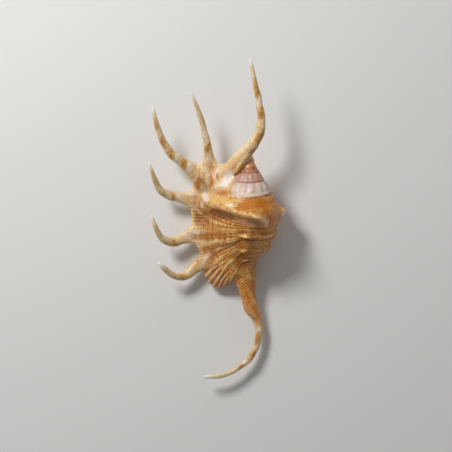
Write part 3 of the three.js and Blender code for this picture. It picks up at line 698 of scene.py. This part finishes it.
def places(points, net, limbs):
    """Where each point is, and its share in each region of the shell."""
    y = points[:, 1]
    at = SimpleNamespace(free=1 - limbs.share)
    at.turn, at.down, radius = body_place(points)
    at.station, at.out = lip_place(points)
    at.facing = unit(net.smoothed(net.normals(points), 8))[:, 2]
    at.coil = coils_of(at.turn, at.down)
    at.phase = at.coil - np.floor(at.coil)
    at.spired = (1 - rise(at.coil, -0.05, 0.02)) * at.free
    at.spired *= 1 - rise(radius - spire_radius(at.turn, at.down), 0.8, 2)
    above_neck = rise(y, -44, -41)
    at.lip = rise(at.out, 0.02, 0.3) * rise(at.station, 0.1, 0.7) * (1 - rise(at.station, 15, 16))
    at.lip *= (1 - rise(y, 30, 40)) * above_neck

    # The outside, as against the glazed underside and the mouth.
    neck_angle = angle_round_neck(points)
    on_whorl = 1 - rise(np.abs(at.turn - 45), 100, 125)
    on_whorl = mix(on_whorl, rise(np.sin(neck_angle), -0.6, -0.1), rise(-y, 36, 44))
    beyond = np.maximum(rise(at.out, 0.1, 0.4) * above_neck, rise(y, 22, 28))
    beyond = np.maximum(beyond, rise(y, 15, 20) * rise(at.turn, 100, 125)) * (1 - at.spired)
    in_mouth = rise(-at.facing, 0, 0.4) * rise(at.turn, 80, 110)
    at.outside = mix(on_whorl, rise(at.facing, -0.25, 0.15), beyond) * (1 - in_mouth)

    # The cords and the ribs of the fan bow on their way out over the lip.
    bow = FAN_BOW * rise(at.station, 8, 12.5) * (1 - 0.8 * rise(at.station, 13, 16))
    bow = bow - BAY_BOW * bell(at.station - 6.3, 1.4)
    at.spiral = spiral_of(neck_angle, at.down, at.station - bow * at.out, at.lip)
    ribbing = at.station + bow * (1 - at.out)
    cycle = 2 * np.pi * FAN_RIBS * (ribbing - FAN_FROM) / (FAN_TO - FAN_FROM)
    at.ribs, at.fine_ribs = np.cos(cycle), np.cos(3 * cycle)
    at.fan = rise(ribbing, FAN_FROM, FAN_FROM + 0.8) * (1 - rise(at.station, FAN_TO - 0.3, FAN_TO + 0.4))
    at.ribbed = at.fan * at.lip * rise(at.out, 0.34, 0.85) * at.free
    at.teeth = np.cos(2 * np.pi * at.station / TOOTH_SPACING)
    toothed = sum(strength * bell(at.station - middle, half) for middle, half, strength in TOOTHED)
    at.toothed = toothed * rise(at.out, 0.7, 0.92) * at.free
    return at


def seams_eased(points, net, at):
    """Eases the lip's seams to the whorl and to its own edge, and the roots of the first spines."""
    seam = (bell(at.out - 0.12, 0.16) + bell(at.out - 0.84, 0.16)) * (at.down > 22)
    seam = seam * (1 - 0.8 * bell(points[:, 1] - 4, 5))
    roots = rise(points[:, 1], 14, 19) * rise(at.out, 0.15, 0.4) * (1 - at.spired)
    return net.smoothed(points, 60, 0.5 * np.clip((seam + roots) * at.outside * at.free, 0, 1))


def raised(points, at):
    """How far the cords, nodules, ribs, crests, knobs and teeth stand out."""
    body = at.free * at.outside
    cords = sum(height * bell(at.spiral - level, half) for level, height, half in CORDS)
    lift = cords * body * (at.down > 22.5) * (1 - 0.35 * at.fan * at.lip)
    lift += knob_height(NODULES, at.turn, at.down) * body * (1 - at.lip)
    lift += at.ribbed * (RIB_HEIGHT * (at.ribs - 0.2 * at.ribs ** 2) + FINE_RIB_HEIGHT * at.fine_ribs)
    lift += patched(points, CRESTS) * at.outside * rise(at.facing, 0.1, 0.5)
    # Each whorl of the spire overhangs the seam below it, and carries low knobs.
    overhang = 0.3 * bell(at.phase - 0.94, 0.07) - 0.2 * bell(at.phase - 0.04, 0.05) * (at.coil > -3.9)
    knobs = bell(at.phase - 0.3, 0.3) * np.cos(np.radians(at.turn) * KEEL_NODULES) * (at.coil > -2)
    return lift + at.spired * (overhang + 0.16 * knobs) + TOOTH_HEIGHT * at.toothed * at.teeth


def edge_cut(points, at):
    """Scallops the fan's edge, and teeth the edge between the spines."""
    row = through(LIP, at.station)
    outward = np.zeros_like(points)
    outward[:, :2] = unit(row[:, 2:4] - row[:, :2])
    reach = SCALLOP * at.ribs * at.fan * rise(at.out, 0.75, 1)
    reach += TOOTH_REACH * at.teeth * at.toothed * rise(at.out, 0.9, 1)
    return points + outward * (reach * at.free * (at.station > 0.3))[:, None]


def grooved(points, normals, limbs):
    """Opens the groove under the neck and the tail, and makes the limbs seamed and uneven."""
    path = [(-y, x, half, depth) for x, y, half, depth in GROOVE]
    middle, half, depth = columns_through(path, np.clip(-points[:, 1], path[0][0], path[-1][0]))
    sunk = np.zeros_like(points)
    sunk[:, 2] = depth * bell(points[:, 0] - middle, half) * (points[:, 2] < GROOVE_TOP)
    points = points + sunk * rise(-normals[:, 2], -0.1, 0.4)[:, None]
    seam = bell(limbs.angle + 90, 16) * (limbs.owner < len(SPINES)) * rise(limbs.along, 6, 26)
    uneven = 0.1 * np.sin(0.6 * limbs.along + 2 * limbs.owner + np.radians(limbs.angle))
    uneven = uneven + 0.04 * np.sin(1.7 * limbs.along + limbs.owner)
    lift = uneven * rise(limbs.along, 6, 20) - SPINE_SEAM * seam
    return points + normals * (lift * limbs.share)[:, None]


def with_relief(points, net, limbs, at):
    points = seams_eased(points, net, at)
    normals = net.normals(points)
    points = points + normals * raised(points, at)[:, None]
    points = grooved(edge_cut(points, at), normals, limbs)
    points = net.smoothed(points, 1)
    points[:, 2] = np.maximum(points[:, 2], 0)
    points = net.smoothed(points, 6, 0.5 * bell(points[:, 2], 0.5) * (at.facing < -0.5))
    points[:, 2] = np.maximum(points[:, 2], 0)
    return points


# Marks: values at each point that the finish reads.


def patched(points, patches):
    cover = np.zeros(len(points))
    for x, y, half_x, half_y, turned, strength in patches:
        cosine, sine = math.cos(math.radians(turned)), math.sin(math.radians(turned))
        across, ahead = points[:, 0] - x, points[:, 1] - y
        near = bell(across * cosine + ahead * sine, half_x) * bell(ahead * cosine - across * sine, half_y)
        cover += strength * near
    return np.minimum(cover, 1.3)


def banded(limbs, bands):
    """Bands round each limb, each one strongest on its own side."""
    cover = np.zeros(len(limbs.along))
    drift = 0.9 * np.sin(np.radians(limbs.angle * 2))
    for place, rows in enumerate(bands.values()):
        for middle, half, strength, lean in rows:
            side = 0.2 + 0.8 * bell((limbs.angle - lean + 180) % 360 - 180, 62)
            near = np.exp(-(np.abs((limbs.along - middle + drift) / half) ** 3))
            cover += strength * side * near * (limbs.owner == place)
    return np.minimum(cover, 1.3)


def marks_of(points, net, limbs, at):
    x, y, z = points.T
    outside, underside = at.outside, 1 - at.outside
    seen = outside * rise(at.facing, 0.02, 0.3)
    marks = {name: patched(points, rows) * seen for name, rows in PATCHES.items()}
    knobbed = rise(knob_height(KNOBS, at.turn, at.down) / 4, 0.5, 1)
    knobbed = (knobbed + rise(knob_height(NODULES, at.turn, at.down) / 2, 0.5, 1)) * outside
    marks["pale"] += 0.5 * knobbed * (at.turn < 40)
    marks["light"] += 0.4 * knobbed
    # Painted light: the warm orange wash on the right flank, the lower right and the neck.
    marks["painted_warm_light"] = patched(points, WARM_LIGHT_PATCHES) * outside

    marks["spiral"] = at.spiral
    below_ridge = mix(0.1, 1, rise(-y, -5, 1)) * mix(1, 0.25, rise(x, 18, 30))
    marks["corded"] = at.free * outside * below_ridge
    marks["ribby"] = at.lip * rise(at.out, 0.4, 0.7) * rise(at.station, 5.6, 6.8) * at.free
    # The fan's furrows: partly their own pinkish brown, partly painted shade in the furrows.
    marks["furrow"] = at.ribbed * (0.6 * rise(-at.ribs, -0.6, 0.5) + 0.4 * rise(-at.fine_ribs, -0.2, 0.8))
    creamy = rise(y, 11, 21) * rise(-x, -12, -6) + rise(y, 25, 31)
    marks["creamy"] = np.clip(creamy + 0.7 * at.lip * rise(at.out, 0.5, 1), 0, 1)
    # Where the surface stands out from its surroundings, or lies in a hollow: crests are painted paler as
    # wear, hollows darker as painted shade.
    standing = ((points - net.smoothed(points, 24)) * net.normals(points)).sum(1)
    marks["crest_wear_and_hollow_shade"] = np.clip(standing / 0.16, -1, 1) * at.free

    marks["spired"] = at.spired
    marks["age"] = np.floor(at.coil) + through(SPIRE_TURN, at.turn)[:, 0]
    marks["suture"] = (bell(at.phase, 0.035) + bell(at.phase - 1, 0.035)) * at.spired
    marks["limb"] = limbs.share
    marks["limb_along"] = limbs.along
    marks["around_limb"] = limbs.angle / 60
    marks["bands"] = banded(limbs, BANDS)
    marks["gaps"] = banded(limbs, GAPS)
    marks["glazed"] = underside * np.maximum(rise(at.down, 10, 16), 1 - at.spired)
    marks["throat"] = underside * at.free * rise(z, 4, 21) * rise(at.down, 22, 28)
    return marks


# The shell as one mesh.


def eased_share(points):
    """Joins aren't eased on the spire and inside the mouth, and less beside the ridge."""
    x, y, z = points.T
    turn, down, radius = body_place(points)
    spire = (down < 21.5) & (radius < spire_radius(turn, down) + 2.2)
    mouth = (y < 26) & (lip_place(points)[1] < 0.2) & (z < 20)
    return (1 - bell(y - 1, 5) * rise(x, 2, 8) * (z > 20)) * ~(spire | mouth)


def shell_mesh():
    mesh = grown_together([
        whorls(260, 300),
        lip(170, 260),
        *[limb(rows, 36, 150) for rows in SPINES.values()],
        limb(TAIL, 32, 220),
        limb(NECK, 48, 90),
        limb(HIND_WALL, 24, 40),
    ])
    net = Net(mesh)
    points = np.empty(len(mesh.vertices) * 3)
    mesh.vertices.foreach_get("co", points)
    points = net.smoothed(points.reshape(-1, 3), 6)
    points = net.eased_joins(points, eased_share(points))
    points, limbs = pulled_round(points)
    points = net.smoothed(points, 2)
    at = places(points, net, limbs)
    points = with_relief(points, net, limbs, at)
    mesh.vertices.foreach_set("co", ((points - MIDDLE) * METRE).ravel())
    for name, values in marks_of(points, net, limbs, at).items():
        layer = mesh.attributes.new(name, "FLOAT", "POINT")
        layer.data.foreach_set("value", np.asarray(values, np.float32))
    mesh.polygons.foreach_set("use_smooth", np.ones(len(mesh.polygons), bool))
    mesh.update()
    return mesh


# The finish.


def tint(*seen):
    """A colour as it is seen, from 0 to 255, in the shader's own linear scale."""
    linear = [((v / 255 + 0.055) / 1.055) ** 2.4 if v > 10 else v / 255 / 12.92 for v in seen]
    return (*linear, 1)


GLAZE = bpy.data.materials.new("shell_glaze")
GLAZE.use_nodes = True
STEPS = GLAZE.node_tree


def node(kind, inputs, **settings):
    """Adds one step to the finish. Its inputs are values, or sockets of earlier steps."""
    made = STEPS.nodes.new(kind)
    for name, value in settings.items():
        setattr(made, name, value)
    for key, value in inputs.items():
        if isinstance(value, bpy.types.NodeSocket):
            STEPS.links.new(value, made.inputs[key])
        else:
            made.inputs[key].default_value = value
    return made


def mark(name):
    return node("ShaderNodeAttribute", {}, attribute_name=name).outputs["Fac"]


def figure(operation, *values):
    return node("ShaderNodeMath", dict(enumerate(values)), operation=operation).outputs[0]


def times(a, b):
    return figure("MULTIPLY", a, b)


def scaled(value, factor, offset):
    return figure("MULTIPLY_ADD", value, factor, offset)


def total(start, *terms):
    """Adds values, each times its weight, to the start."""
    for value, weight in terms:
        start = scaled(value, weight, start)
    return start


def band(value, low, high):
    inputs = {"Value": value, "From Min": low, "From Max": high}
    return node("ShaderNodeMapRange", inputs, interpolation_type="SMOOTHSTEP").outputs["Result"]


def wave(value, length):
    """One pale line for each length: 0 in the furrow, 1 on the crest."""
    return scaled(figure("COSINE", times(value, 2 * math.pi / length)), 0.5, 0.5)


def noise(place, scale, detail, roughness, distortion=0):
    inputs = {"Vector": place, "Scale": scale, "Detail": detail, "Roughness": roughness}
    return node("ShaderNodeTexNoise", {**inputs, "Distortion": distortion}).outputs["Fac"]


def drawn_out(place, scales):
    return node("ShaderNodeMapping", {"Vector": place, "Scale": scales}).outputs[0]


def grid(x, y, z=0):
    return node("ShaderNodeCombineXYZ", {"X": x, "Y": y, "Z": z}).outputs[0]


def mixed(share, a, b):
    inputs = {0: share, 6: a, 7: b}
    return node("ShaderNodeMix", inputs, data_type="RGBA", clamp_factor=True).outputs[2]


def washed(colour, *washes):
    """Lays washes over a colour in turn: mask, strength, colour."""
    for mask, strength, wash in washes:
        colour = mixed(times(mask, strength), colour, tint(*wash))
    return colour


# Mottling from coarse to fine, and the lines that growth leaves across the cords.
PLACE = node("ShaderNodeTexCoord", {}).outputs["Object"]
PLACE_X, PLACE_Y, PLACE_Z = node("ShaderNodeSeparateXYZ", {"Vector": PLACE}).outputs
ON_NECK = band(PLACE_Y, -0.034, -0.044)
CLOUDS = noise(PLACE, 110, 4, 0.6)
BLOTCHES = noise(PLACE, 260, 4, 0.6, 0.4)
FLECKS = noise(PLACE, 520, 5, 0.68)
SPECKS = noise(PLACE, 900, 3, 0.6)
RAGGED = total(-0.7, (BLOTCHES, 1.7), (FLECKS, 1.7))
GROWTH = noise(drawn_out(PLACE, (900, 140, 900)), 1, 3, 0.65)
FINE_GROWTH = noise(drawn_out(PLACE, (820, 45, 200)), 1, 2, 0.6)
# Cords and ribs, which wander a little, and where each shows.
SPIRAL, RIBBY, GROWN = mark("spiral"), mark("ribby"), mark("grown")
DRIFTED = total(SPIRAL, (GROWTH, 0.5), (CLOUDS, 1.6))
RIBS = wave(DRIFTED, 2 * CORD_SPACING)
SINGLE_CORDS = times(wave(DRIFTED, CORD_SPACING), scaled(RIBBY, -0.6, 1))
CORD_LINES = scaled(times(RIBS, RIBBY), 0.6, SINGLE_CORDS)
CORDED = times(mark("corded"), scaled(band(CLOUDS, 0.35, 0.6), 0.6, 0.4))


def torn(name, low, high):
    """A mark whose edge is broken up by the mottling."""
    return band(times(mark(name), RAGGED), low, high)


def back_colour():
    streaks = noise(grid(times(PLACE_X, 100), times(PLACE_Z, 100), times(SPIRAL, 1.5)), 1, 3, 0.6)
    golden = washed(
        mixed(band(CLOUDS, 0.38, 0.62), tint(184, 104, 16), tint(214, 140, 36)),
        (ON_NECK, 0.8, (186, 98, 22)),
        (band(BLOTCHES, 0.52, 0.74), 0.6, (238, 190, 100)),
        # Painted light: warm orange wash on the right flank and the lower right.
        (mark("painted_warm_light"), 0.6, (206, 114, 0)),
        (band(streaks, 0.48, 0.72), 0.5, (168, 84, 8)),
    )
    cream = washed(
        mixed(band(CLOUDS, 0.4, 0.6), tint(222, 182, 130), tint(238, 214, 180)),
        (band(BLOTCHES, 0.48, 0.66), 0.6, (196, 124, 46)),
    )
    crests = times(times(CORDED, band(CORD_LINES, 0.62, 0.98)), band(BLOTCHES, 0.26, 0.56))
    flecked = scaled(mark("corded"), 0.08, 0.22)
    crest_wear_and_hollow_shade = mark("crest_wear_and_hollow_shade")
    return washed(
        mixed(mark("creamy"), golden, cream),
        (times(CORDED, band(CORD_LINES, 0.5, 0)), 0.65, (130, 66, 8)),
        (times(crests, scaled(ON_NECK, -0.3, 1)), 1, (246, 200, 114)),
        (times(RIBBY, band(RIBS, 0.5, 0.1)), 0.55, (178, 104, 36)),
        (times(RIBBY, band(RIBS, 0.6, 0.95)), 0.5, (246, 220, 176)),
        (band(GROWTH, 0.52, 0.7), 0.3, (244, 212, 150)),
        (band(GROWTH, 0.47, 0.32), 0.45, (142, 70, 8)),
        (times(band(FINE_GROWTH, 0.53, 0.66), GROWN), 0.4, (240, 192, 108)),
        (times(band(FINE_GROWTH, 0.49, 0.38), GROWN), 0.7, (138, 72, 10)),
        (band(FLECKS, 0.52, 0.64), flecked, (246, 210, 136)),
        (band(FLECKS, 0.48, 0.36), flecked, (158, 78, 8)),
        # Paler on the crests, as wear; darker in the hollows, as painted shade.
        (times(band(crest_wear_and_hollow_shade, 0.1, 1), band(BLOTCHES, 0.34, 0.58)), 0.65, (244, 210, 146)),
        (band(crest_wear_and_hollow_shade, -0.1, -0.9), 0.6, (126, 62, 6)),
        (torn("light", 0.3, 0.75), 0.6, (244, 206, 132)),
        (torn("pink", 0.3, 0.8), 0.65, (202, 148, 116)),
        # Brown marks, one of them a painted shadow beside the first spine's ridge.
        (torn("brown", 0.25, 0.85), 0.75, (186, 106, 10)),
        # Dark patch in the hollow: a brown stain with painted shade.
        (torn("stain_and_shade", 0.3, 0.9), 0.8, (108, 60, 16)),
        # White patches, some of them painted highlights (glints).
        (torn("pale", 0.35, 1.05), 0.85, (242, 232, 218)),
        (ON_NECK, 0.4, (216, 124, 8)),
        # Fan furrows: own pinkish brown with painted shade.
        (mark("furrow"), 0.65, (164, 104, 66)),
    )


def spire_colour():
    """One colour for each whorl, from the apex down, under the mottling."""
    age = total(-0.07, (mark("age"), 1), (FLECKS, 0.14))
    return washed(
        # The third whorl up is painted dark brown: partly its own colour, partly painted shade where the
        # first spine's ridge shades the top of the spire.
        mixed(band(age, -3.7, -3.2), tint(196, 130, 76), tint(168, 90, 52)),
        (band(age, -2.75, -2.25), 1, (190, 136, 108)),
        (band(age, -1.75, -1.25), 1, (222, 202, 184)),
        (band(age, -0.7, -0.3), 1, (214, 156, 84)),
        (band(CLOUDS, 0.45, 0.6), 0.4, (196, 160, 158)),
        (band(BLOTCHES, 0.5, 0.64), 0.45, (226, 184, 134)),
        (band(BLOTCHES, 0.48, 0.34), 0.35, (236, 226, 216)),
        (band(FLECKS, 0.48, 0.34), 0.35, (170, 104, 70)),
        (mark("suture"), 0.75, (132, 66, 32)),
    )


def limb_colour():
    """Cream with streaks and growth rings, brown bands, white gaps and white tips."""
    along = mark("limb_along")
    streaks = noise(grid(times(along, 0.22), mark("around_limb")), 2.2, 4, 0.6)
    rings = wave(scaled(BLOTCHES, 0.5, along), 1.15)
    return washed(
        mixed(band(CLOUDS, 0.4, 0.62), tint(230, 203, 154), tint(240, 222, 186)),
        (band(streaks, 0.46, 0.66), 0.5, (212, 164, 96)),
        (rings, 0.14, (190, 136, 78)),
        (band(FLECKS, 0.47, 0.38), 0.35, (198, 140, 70)),
        (band(FLECKS, 0.54, 0.64), 0.35, (246, 234, 212)),
        (torn("bands", 0.22, 0.85), 0.75, (204, 154, 82)),
        (torn("bands", 0.5, 1.3), 0.8, (174, 106, 30)),
        (torn("gaps", 0.25, 0.9), 0.65, (240, 238, 236)),
        (band(along, 6.5, 1.5), 1, (246, 241, 228)),
    )


def finish():
    """Corded golden back, banded cream limbs, and a smooth glaze underneath."""
    outside = mixed(mark("limb"), mixed(mark("spired"), back_colour(), spire_colour()), limb_colour())
    cream = mixed(band(CLOUDS, 0.35, 0.65), tint(240, 206, 164), tint(246, 224, 196))
    underside = washed(cream, (mark("throat"), 1, (222, 132, 60)))
    edge = total(mark("glazed"), (CLOUDS, 0.7), (BLOTCHES, 0.3))
    glazed = times(band(edge, 0.86, 1.04), scaled(mark("limb"), -1, 1))
    height = total(
        -0.22,
        (times(CORD_LINES, CORDED), 0.2),
        (times(RIBS, RIBBY), 0.15),
        (GROWTH, 0.16),
        (times(FINE_GROWTH, GROWN), 0.3),
        (BLOTCHES, 0.22),
        (SPECKS, 0.05),
    )
    height = times(height, scaled(glazed, -1, 1))
    bump = node("ShaderNodeBump", {"Height": height, "Strength": 1, "Distance": METRE})
    sockets = STEPS.nodes["Principled BSDF"].inputs
    STEPS.links.new(mixed(glazed, outside, underside), sockets["Base Color"])
    STEPS.links.new(total(0.22, (SPECKS, 0.25), (CORDED, 0.06)), sockets["Roughness"])
    STEPS.links.new(bump.outputs["Normal"], sockets["Normal"])
    sockets["Coat Weight"].default_value = 0.14
    sockets["Coat Roughness"].default_value = 0.14
    sockets["Specular IOR Level"].default_value = 0.34


finish()
shell = bpy.data.objects.new("shell_surface", shell_mesh())
bpy.context.scene.collection.objects.link(shell)
shell.data.materials.append(GLAZE)
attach(shell, "root")
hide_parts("shell")


# The studio.


def studio():
    scene = bpy.context.scene
    scene.view_settings.view_transform = "Standard"
    scene.world = bpy.data.worlds.new("studio")
    scene.world.use_nodes = True
    sky = scene.world.node_tree.nodes["Background"].inputs
    sky["Color"].default_value = (1, 1, 1, 1)
    sky["Strength"].default_value = WORLD_LIGHT
    bpy.ops.mesh.primitive_plane_add(size=FLOOR_SIZE, location=(0, 0, 0))
    floor = bpy.context.object
    floor.name = "floor"
    paper = bpy.data.materials.new("floor_paper")
    paper.use_nodes = True
    look = paper.node_tree.nodes["Principled BSDF"].inputs
    look["Base Color"].default_value = (*FLOOR_COLOUR, 1)
    look["Roughness"].default_value = 0.9
    floor.data.materials.append(paper)
    for name, place, size, power in LIGHTS:
        light = bpy.data.lights.new(name, "AREA")
        light.energy = power
        light.size = size
        lamp = bpy.data.objects.new(name, light)
        lamp.location = place
        lamp.rotation_mode = "QUATERNION"
        lamp.rotation_quaternion = (-lamp.location).to_track_quat("-Z", "Y")
        scene.collection.objects.link(lamp)


def camera():
    data = bpy.data.cameras.new("camera")
    data.lens = LENS
    data.sensor_width = SENSOR
    data.clip_end = 20
    eye = bpy.data.objects.new("camera", data)
    height = VIEW_LEVEL + VIEW_WIDTH * LENS / SENSOR
    eye.location = (np.array([*VIEW_MIDDLE, height]) - MIDDLE) * METRE
    bpy.context.scene.collection.objects.link(eye)
    bpy.context.scene.camera = eye


studio()
camera()
